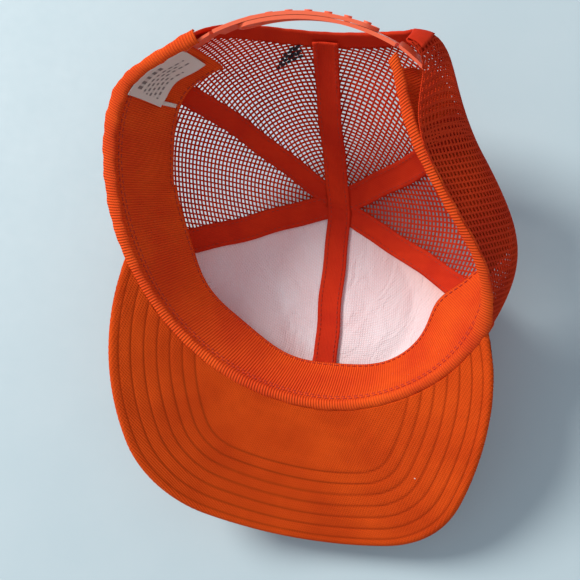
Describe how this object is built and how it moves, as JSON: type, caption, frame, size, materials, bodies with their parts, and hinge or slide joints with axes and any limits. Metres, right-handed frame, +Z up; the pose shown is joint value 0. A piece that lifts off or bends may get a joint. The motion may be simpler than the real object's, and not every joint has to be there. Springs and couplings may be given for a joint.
{
  "type": "trucker mesh cap",
  "caption": "Trucker cap lying on its crown: stiff front panels, mesh sides and back, curved stitched visor, ribbed sweatband and a rear snap closure.",
  "frame": {"origin": "middle of the footprint, on the surface the cap lies on", "axes": "+Z up, out of the head opening; the visor points to -Y, the closure is at +Y, the wearer's right is +X"},
  "size_m": [0.1746, 0.239, 0.1263],
  "materials": {
    "front_cloth": "plain woven cloth",
    "buckram": "stiff open-weave lining",
    "mesh": "knitted polyester mesh",
    "seam_tape": "woven tape",
    "sweatband": "ribbed cloth",
    "label": "woven satin",
    "visor_board": "plain sheet",
    "visor_cloth": "twill",
    "thread": "sewing thread",
    "strap_plastic": "moulded, slightly glossy",
    "button_metal": "stamped"
  },
  "bodies": {
    "cap_body": {"arch_binding": "seam_tape", "button_core": "button_metal", "button_cover": "front_cloth", "button_rivet": "button_metal", "care_label": "label", "closure_tab_holes": "strap_plastic", "closure_tab_pegs": "strap_plastic", "front_lining_left": "buckram", "front_lining_right": "buckram", "front_panel_left": "front_cloth", "front_panel_right": "front_cloth", "mesh_rear_left": "mesh", "mesh_rear_right": "mesh", "mesh_side_left": "mesh", "mesh_side_right": "mesh", "seam_tape_centre": "seam_tape", "seam_tape_front_left": "seam_tape", "seam_tape_front_right": "seam_tape", "seam_tape_rear_left": "seam_tape", "seam_tape_rear_right": "seam_tape", "sweatband": "sweatband", "visor_board": "visor_board", "visor_stitching": "thread", "visor_topside_cloth": "visor_cloth", "visor_underside_cloth": "visor_cloth"},
    "outer_strap": {"closure_strap_holes": "strap_plastic"},
    "inner_strap": {"closure_strap_pegs": "strap_plastic"}
  },
  "joints": [
    {"name": "outer_strap_swing", "type": "hinge", "parent": "cap_body", "child": "outer_strap", "pos_m": [-0.04, 0.09774, 0.11373], "axis": [0, -0.4384, 0.8988], "range_deg": [0, 70]},
    {"name": "inner_strap_swing", "type": "hinge", "parent": "cap_body", "child": "inner_strap", "pos_m": [0.04, 0.09774, 0.11373], "axis": [0, -0.4384, 0.8988], "range_deg": [0, 35]}
  ]
}
